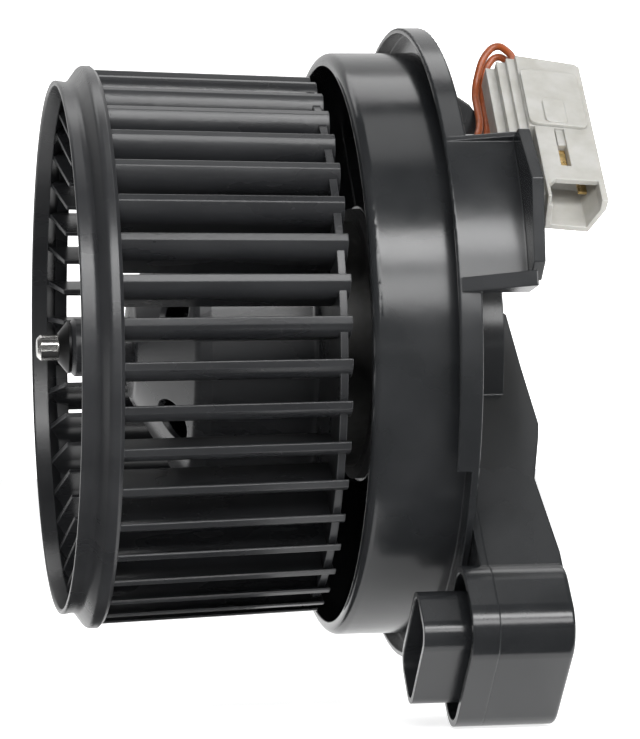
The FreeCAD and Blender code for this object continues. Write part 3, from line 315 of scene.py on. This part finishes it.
FLOOR_Z = CAD_BOX[0][2] - 0.0005
WHITE = (1.0, 1.0, 1.0)
FLOOR_GREY = (0.86, 0.86, 0.86)
FLAG_GREY = (0.03, 0.03, 0.03)
FLAG_LIFT = 0.004            # how far the flags lie above the floor
SURROUND = 2.6               # from the origin to the surround's cards and its lid
ROOM_FRONT = 0.13            # strength of the room's light in front of the object and beside it
ROOM_BACK = 0.95             # and behind it
LIGHTS = (
    # name, elevation, heading, distance, width, height, radiance
    ("key", 35.0, 8.0, 1.3, 1.9, 0.26, 11.0),
    ("key_lower", 19.0, 8.0, 1.3, 1.9, 0.27, 6.5),
    ("low_strip", -36.0, 8.0, 1.0, 1.6, 0.05, 2.6),
    ("rim", 64.0, 180.0, 1.4, 1.6, 0.5, 2.4),
    ("overhead", 79.0, 59.0, 1.2, 0.5, 0.3, 1.3),
)


def panel(name, width, depth, centre, normal, colour, glow=0.0):
    """A flat stage card, square on to its normal."""
    mesh = bmesh.new()
    bmesh.ops.create_grid(mesh, x_segments=8, y_segments=8, size=0.5)
    data = bpy.data.meshes.new(name)
    mesh.to_mesh(data)
    mesh.free()
    card = bpy.data.objects.new(name, data)
    bpy.context.scene.collection.objects.link(card)
    turn = Vector(normal).to_track_quat("Z", "Y").to_matrix().to_4x4()
    card.matrix_world = Matrix.Translation(centre) @ turn @ Matrix.Diagonal((width, depth, 1.0, 1.0))
    finish = Finish(name, colour, 0.9, Emission_Strength=glow)
    finish.shader.inputs["Emission Color"].default_value = (*colour, 1.0)
    tone = finish.noise(3.0, 3.0)
    paler = tuple(min(1.0, part * 1.04) for part in colour)
    finish.paint(finish.mix(finish.span(tone, 0.3, 0.7, 0.0, 1.0), colour, paler))
    data.materials.append(finish.material)
    return card


def hide_from_all_but(card, *rays):
    """Leave a stage card visible only to the named kinds of ray."""
    for ray in ("camera", "diffuse", "glossy", "transmission", "volume_scatter", "shadow"):
        setattr(card, "visible_" + ray, ray in rays)


def softbox(name, elevation, heading, distance, width, height, radiance):
    """A soft light aimed at the origin. Elevation and heading are in degrees; heading 0 is the camera's
    side (-Y) and 90 is +X."""
    light = bpy.data.lights.new(name, "AREA")
    light.shape = "RECTANGLE"
    light.size = width
    light.size_y = height
    light.energy = radiance * math.pi * width * height
    lamp = bpy.data.objects.new(name, light)
    bpy.context.scene.collection.objects.link(lamp)
    up = math.radians(elevation)
    round_z = math.radians(heading)
    outward = Vector((math.sin(round_z) * math.cos(up), -math.cos(round_z) * math.cos(up), math.sin(up)))
    lamp.location = outward * distance
    lamp.rotation_mode = "QUATERNION"
    lamp.rotation_quaternion = outward.to_track_quat("Z", "Y")
    lamp.visible_camera = False
    return lamp


def make_world(front, back):
    """White room light: one strength in front and at the sides, rising to another behind the object."""
    world = bpy.data.worlds.new("studio")
    world.use_nodes = True
    bpy.context.scene.world = world
    nodes = world.node_tree.nodes
    links = world.node_tree.links
    direction = nodes.new("ShaderNodeTexCoord").outputs["Generated"]
    parts = nodes.new("ShaderNodeSeparateXYZ")
    links.new(direction, parts.inputs[0])
    ramp = nodes.new("ShaderNodeMapRange")
    ramp.interpolation_type = "SMOOTHSTEP"
    links.new(parts.outputs["Y"], ramp.inputs["Value"])
    for socket, value in (("From Min", 0.35), ("From Max", 0.95), ("To Min", front), ("To Max", back)):
        ramp.inputs[socket].default_value = value
    links.new(ramp.outputs["Result"], nodes["Background"].inputs["Strength"])
    nodes["Background"].inputs["Color"].default_value = (1.0, 1.0, 1.0, 1.0)


def make_surround():
    """Pale floor, with glowing white cards round it and above it that only the camera sees."""
    panel("floor", 12.0, 12.0, (0.0, 0.0, FLOOR_Z), (0.0, 0.0, 1.0), FLOOR_GREY, 0.86)
    for number, heading in enumerate(range(0, 360, 45)):
        turn = math.radians(heading)
        outward = Vector((math.cos(turn), math.sin(turn), 0.0))
        card = panel("surround_%d" % number, 2.4, 5.4, outward * SURROUND, -outward, WHITE, 1.1)
        hide_from_all_but(card, "camera")
    lid = panel("surround_top", 14.0, 14.0, (0.0, 0.0, SURROUND), (0.0, 0.0, -1.0), WHITE, 1.05)
    hide_from_all_but(lid, "camera")


def make_flags():
    """Dark cards just above the floor that only reflections see: one in front of the whole object, one
    on the inlet's side under the wheel."""
    for name, width, depth, x, y in (("low_flag", 4.0, 1.7, 0.0, -0.945),
                                     ("wheel_flag", 1.965, 0.135, -1.0175, -0.0275)):
        flag = panel(name, width, depth, (x, y, FLOOR_Z + FLAG_LIFT), (0.0, 0.0, 1.0), FLAG_GREY, 1.0)
        hide_from_all_but(flag, "glossy")


def make_lights():
    """Two wide strips in front, a faint one from below, a rim light behind and a small one overhead."""
    make_world(ROOM_FRONT, ROOM_BACK)
    for light in LIGHTS:
        softbox(*light)


# ---------------------------------------------------------------- camera

def make_camera():
    """Long lens, a little to the inlet's side and nearly level with the axis."""
    yaw = math.radians(9.60835)
    pitch = math.radians(0.23025)
    roll = math.radians(-0.86817)
    place = (-0.18777, -0.98189, -0.011057)
    forward = Vector((math.sin(yaw) * math.cos(pitch), math.cos(yaw) * math.cos(pitch), math.sin(pitch)))
    level = Vector((math.cos(yaw), -math.sin(yaw), 0.0))
    upright = level.cross(forward)
    right = math.cos(roll) * level + math.sin(roll) * upright
    up = -math.sin(roll) * level + math.cos(roll) * upright
    data = bpy.data.cameras.new("camera")
    data.lens = 175.12
    data.sensor_width = 36.0
    data.clip_start = 0.05
    data.clip_end = 50.0
    camera = bpy.data.objects.new("camera", data)
    bpy.context.scene.collection.objects.link(camera)
    turn = Matrix((right, up, -forward)).transposed().to_4x4()
    camera.matrix_world = Matrix.Translation(place) @ turn
    bpy.context.scene.camera = camera


# ---------------------------------------------------------------- build

make_camera()
paint_nodes()
make_surround()
make_flags()
make_lights()
bpy.context.scene.view_settings.view_transform = "Standard"
